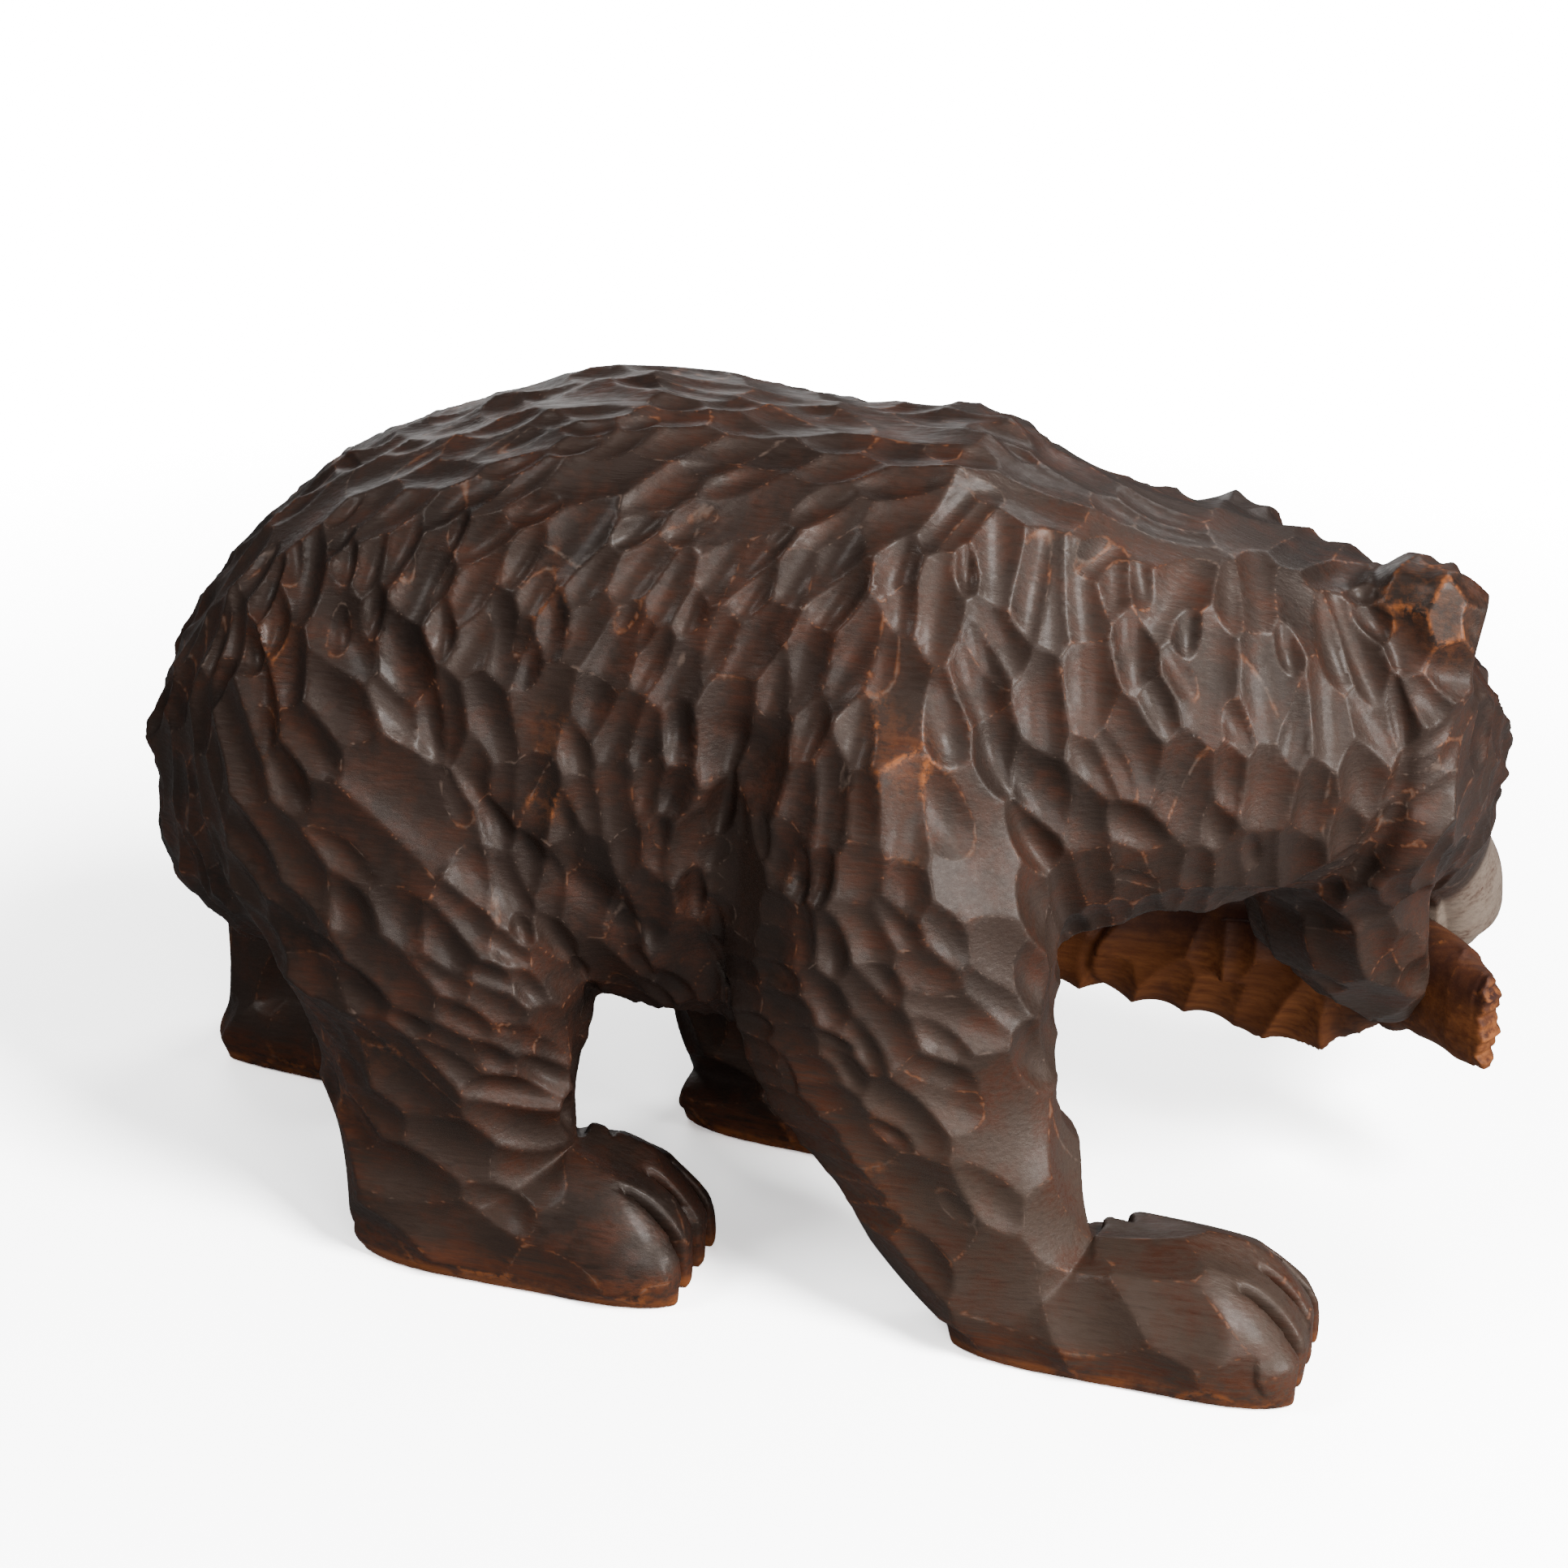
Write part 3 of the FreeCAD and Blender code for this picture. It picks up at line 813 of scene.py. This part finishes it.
def stained_wood():
    n = Nodes("stained_wood")
    ridge, tone, worn = n.stored("ridge"), n.stored("tone"), n.stored("wear")
    pale_and_painted_light, sole = n.stored("pale_and_painted_light"), n.stored("sole")
    broad = n.noise(28, 3)
    patch = n.noise(95, 5, 0.6)
    speck = n.noise(420, 4, 0.65)
    fibre = n.noise(300, 4, 0.6, n.place((0.25, 3, 3)))
    fine = n.noise(900, 3, 0.6, n.place((0.3, 1, 1)))
    # dark stain, lighter in some cuts, with painted light on the fore quarters and fore legs, and the muzzle
    # palest
    colour = n.mix(n.remap(broad, 0.35, 0.65), (0.0090, 0.0046, 0.0034), (0.020, 0.0108, 0.0080))
    colour = n.mix(n.remap(tone, 0, 1, 0, 0.8), colour, (0.030, 0.0170, 0.0125))
    # painted light: paler on the fore quarters' right side and low on the fore legs
    colour = n.mix(n.remap(pale_and_painted_light, 0.0, 1.0, 0, 0.85), colour, (0.076, 0.049, 0.0355))
    # the muzzle, palest
    colour = n.mix(n.remap(pale_and_painted_light, 0.7, 1.2, 0, 0.8), colour, (0.26, 0.200, 0.155))
    # red-brown patches, and strips where the stain is rubbed
    reddish = n.math("MULTIPLY", n.remap(patch, 0.45, 0.66), n.remap(fibre, 0.4, 0.62, 0.3, 0.9))
    colour = n.mix(reddish, colour, (0.058, 0.0180, 0.0090))
    rubbed = n.math("MULTIPLY", sole, n.remap(fibre, 0.38, 0.62, 0, 0.8))
    colour = n.mix(rubbed, colour, (0.085, 0.024, 0.0100))
    # bare orange wood on worn ridges and along the soles
    edge = n.math("MULTIPLY", n.remap(ridge, 0.5, 1.0, 0, 0.75), n.remap(patch, 0.48, 0.62))
    bare = n.math("MULTIPLY", n.remap(worn, 0.1, 0.9, 0, 1.8), n.remap(speck, 0.42, 0.6))
    bare = n.math("MULTIPLY", bare, n.remap(ridge, 0.05, 0.7, 0.12, 1.0))
    sole_edge = n.math("MULTIPLY", n.remap(worn, 1.0, 1.8, 0, 0.9), n.remap(patch, 0.4, 0.57))
    bare = n.math("MAXIMUM", bare, sole_edge)
    colour = n.mix(n.math("MINIMUM", n.math("ADD", edge, bare), 0.95), colour, (0.25, 0.075, 0.02))
    # dark grain, and a painted highlight: pale rims on the sharpest ridges
    colour = n.mix(n.remap(fibre, 0.5, 0.8, 0, 0.4), colour, (0.007, 0.0045, 0.004))
    # painted highlight along the sharpest ridges
    rim = n.math("MULTIPLY", n.remap(ridge, 0.66, 0.95, 0, 0.75), n.remap(speck, 0.33, 0.52))
    colour = n.mix(rim, colour, (0.105, 0.070, 0.054))
    n.link(colour, n.shader.inputs["Base Color"])
    n.link(n.remap(fine, 0.3, 0.7, 0.40, 0.62), n.shader.inputs["Roughness"])
    n.shader.inputs["Specular IOR Level"].default_value = 0.34
    n.shader.inputs["Specular Tint"].default_value = (1.0, 0.86, 0.76, 1.0)
    n.shader.inputs["Coat Weight"].default_value = 0.08
    n.shader.inputs["Coat Roughness"].default_value = 0.2
    normal = n.bump(fibre, 0.0003, 0.5)
    n.link(n.bump(fine, 0.00012, 0.5, normal), n.shader.inputs["Normal"])
    return n.material


def bare_wood():
    n = Nodes("bare_wood")
    ridge, tone, worn = n.stored("ridge"), n.stored("tone"), n.stored("wear")
    back, jaw = n.stored("back"), n.stored("jaw")
    patch = n.noise(80, 5, 0.6)
    speck = n.noise(380, 4, 0.65)
    grain = n.noise(240, 5, 0.6, n.place((0.25, 2.5, 2.5)))
    fine = n.noise(900, 3, 0.6, n.place((0.3, 1, 1)))
    colour = n.mix(n.remap(grain, 0.35, 0.65), (0.12, 0.036, 0.012), (0.24, 0.082, 0.025))
    colour = n.mix(n.remap(tone, 0, 1, 0, 0.6), colour, (0.12, 0.036, 0.011))
    colour = n.mix(n.remap(patch, 0.5, 0.75, 0, 0.6), colour, (0.045, 0.014, 0.008))
    dark_back = n.math("MULTIPLY", n.remap(back, 0.2, 1), n.remap(patch, 0.3, 0.6, 0.4, 0.9))
    colour = n.mix(dark_back, colour, (0.028, 0.011, 0.010))
    jaw_stain = n.math("MULTIPLY", n.remap(jaw, 0.3, 1), n.remap(patch, 0.35, 0.6, 0.2, 0.9))
    colour = n.mix(jaw_stain, colour, (0.030, 0.015, 0.010))
    pale_ends = n.math("MULTIPLY", n.remap(worn, 0, 1, 0, 0.8), n.remap(speck, 0.46, 0.62))
    pale_edges = n.math("MULTIPLY", n.remap(ridge, 0.5, 1, 0, 0.5), n.remap(speck, 0.5, 0.65))
    colour = n.mix(n.math("MAXIMUM", pale_ends, pale_edges), colour, (0.32, 0.105, 0.03))
    n.link(colour, n.shader.inputs["Base Color"])
    n.link(n.remap(fine, 0.3, 0.7, 0.5, 0.68), n.shader.inputs["Roughness"])
    n.shader.inputs["Specular IOR Level"].default_value = 0.2
    normal = n.bump(grain, 0.0003, 0.35)
    n.link(n.bump(fine, 0.0001, 0.4, normal), n.shader.inputs["Normal"])
    return n.material


def glass_eye():
    n = Nodes("glass_eye")
    off = n.stored("off_gaze")
    streak = n.noise(1500, 2, 0.5)
    iris = n.mix(n.remap(streak, 0.35, 0.65), (0.05, 0.018, 0.006), (0.12, 0.045, 0.012))
    colour = n.mix(n.remap(off, 0.42, 0.47), (0.002, 0.002, 0.002), iris)
    colour = n.mix(n.remap(off, 0.85, 1.0), colour, (0.006, 0.004, 0.003))
    n.link(colour, n.shader.inputs["Base Color"])
    n.link(n.remap(n.noise(300), 0.3, 0.7, 0.05, 0.12), n.shader.inputs["Roughness"])
    n.shader.inputs["Coat Weight"].default_value = 0.8
    n.shader.inputs["Coat Roughness"].default_value = 0.05
    return n.material


bear.data.materials.append(stained_wood())
salmon.data.materials.append(bare_wood())
bead_glass = glass_eye()
for eye in eyes:
    eye.data.materials.append(bead_glass)


# ------------------------------------------------------- floor, light, camera

# What the camera sees of the floor and the room is white. What lights the wood is dim, so that
# the stain stays dark.
FLOOR_SEEN, FLOOR_LIT = 6.5, 0.22
ROOM_SEEN, ROOM_LIT = 14.0, 0.11
FADE_START, FADE_END = 0.2, 0.75  # where the floor fades into the room, in metres


def floor():
    mesh = bpy.data.meshes.new("floor")
    half = 6.0
    corners = [(-half, -half, 0), (half, -half, 0), (half, half, 0), (-half, half, 0)]
    mesh.from_pydata(corners, [], [(0, 1, 2, 3)])
    obj = bpy.data.objects.new("floor", mesh)
    bpy.context.scene.collection.objects.link(obj)
    material = bpy.data.materials.new("pale_floor")
    material.use_nodes = True
    tree = material.node_tree
    shader = tree.nodes["Principled BSDF"]
    shader.inputs["Roughness"].default_value = 1.0
    shader.inputs["Specular IOR Level"].default_value = 0.0
    path = tree.nodes.new("ShaderNodeLightPath")
    pale = tree.nodes.new("ShaderNodeMapRange")
    pale.inputs["To Min"].default_value = FLOOR_LIT
    pale.inputs["To Max"].default_value = FLOOR_SEEN
    tree.links.new(path.outputs["Is Camera Ray"], pale.inputs["Value"])
    tree.links.new(pale.outputs["Result"], shader.inputs["Base Color"])
    place = tree.nodes.new("ShaderNodeTexCoord")
    away = tree.nodes.new("ShaderNodeVectorMath")
    away.operation = "LENGTH"
    tree.links.new(place.outputs["Object"], away.inputs[0])
    fade = tree.nodes.new("ShaderNodeMapRange")
    fade.interpolation_type = "SMOOTHSTEP"
    for socket, number in zip(list(fade.inputs)[1:5], (FADE_START, FADE_END, 0.0, ROOM_SEEN)):
        socket.default_value = number
    tree.links.new(away.outputs["Value"], fade.inputs["Value"])
    glow = tree.nodes.new("ShaderNodeMath")
    glow.operation = "MULTIPLY"
    tree.links.new(path.outputs["Is Camera Ray"], glow.inputs[0])
    tree.links.new(fade.outputs["Result"], glow.inputs[1])
    shader.inputs["Emission Color"].default_value = (1, 1, 1, 1)
    tree.links.new(glow.outputs[0], shader.inputs["Emission Strength"])
    mesh.materials.append(material)


# Name, place, width and height in metres, watts.
SOFTBOXES = (
    ("key", (0.85, -0.55, 1.1), 0.45, 0.45, 25),
    ("left", (-0.8, -0.55, 1.1), 0.4, 0.4, 5),
    ("right", (1.3, -0.4, 0.22), 0.6, 0.35, 15),
    ("front", (0.75, -1.35, 0.4), 0.8, 0.6, 10),
    ("back", (0.35, 0.85, 1.0), 0.5, 0.4, 4),
    ("far", (-0.75, 1.25, 0.6), 0.9, 0.7, 6),
)


def softbox(name, place, width, height, watts):
    """A soft light aimed at the bear's middle."""
    aim = (0.0, 0.0, 0.1)
    data = bpy.data.lights.new(name, "AREA")
    data.shape = "RECTANGLE"
    data.size, data.size_y, data.energy = width, height, watts
    obj = bpy.data.objects.new(name, data)
    obj.location = place
    obj.rotation_mode = "QUATERNION"
    obj.rotation_quaternion = (Vector(aim) - Vector(place)).to_track_quat("-Z", "Y")
    bpy.context.scene.collection.objects.link(obj)


def studio():
    floor()
    world = bpy.data.worlds.new("pale_room")
    world.use_nodes = True
    tree = world.node_tree
    background = tree.nodes["Background"]
    background.inputs["Color"].default_value = (1, 1, 1, 1)
    path = tree.nodes.new("ShaderNodeLightPath")
    strength = tree.nodes.new("ShaderNodeMapRange")
    strength.inputs["To Min"].default_value = ROOM_LIT
    strength.inputs["To Max"].default_value = ROOM_SEEN
    tree.links.new(path.outputs["Is Camera Ray"], strength.inputs["Value"])
    tree.links.new(strength.outputs["Result"], background.inputs["Strength"])
    bpy.context.scene.world = world
    for box in SOFTBOXES:
        softbox(*box)


LENS = 100.6
DISTANCE = 0.99
TURN, LIFT = math.radians(17), math.radians(25)  # round towards the head, and above the floor
AIM = np.array((-9, -4, 110))  # from the belly's middle


def camera():
    data = bpy.data.cameras.new("camera")
    data.lens, data.sensor_width = LENS, 36
    data.clip_start, data.clip_end = 0.05, 30
    obj = bpy.data.objects.new("camera", data)
    level = math.cos(LIFT)
    back = Vector((math.sin(TURN) * level, -math.cos(TURN) * level, math.sin(LIFT)))
    obj.location = Vector((AIM + BODY) * MM) + back * DISTANCE
    obj.rotation_mode = "QUATERNION"
    obj.rotation_quaternion = (-back).to_track_quat("-Z", "Y")
    bpy.context.scene.collection.objects.link(obj)
    bpy.context.scene.camera = obj


studio()
camera()
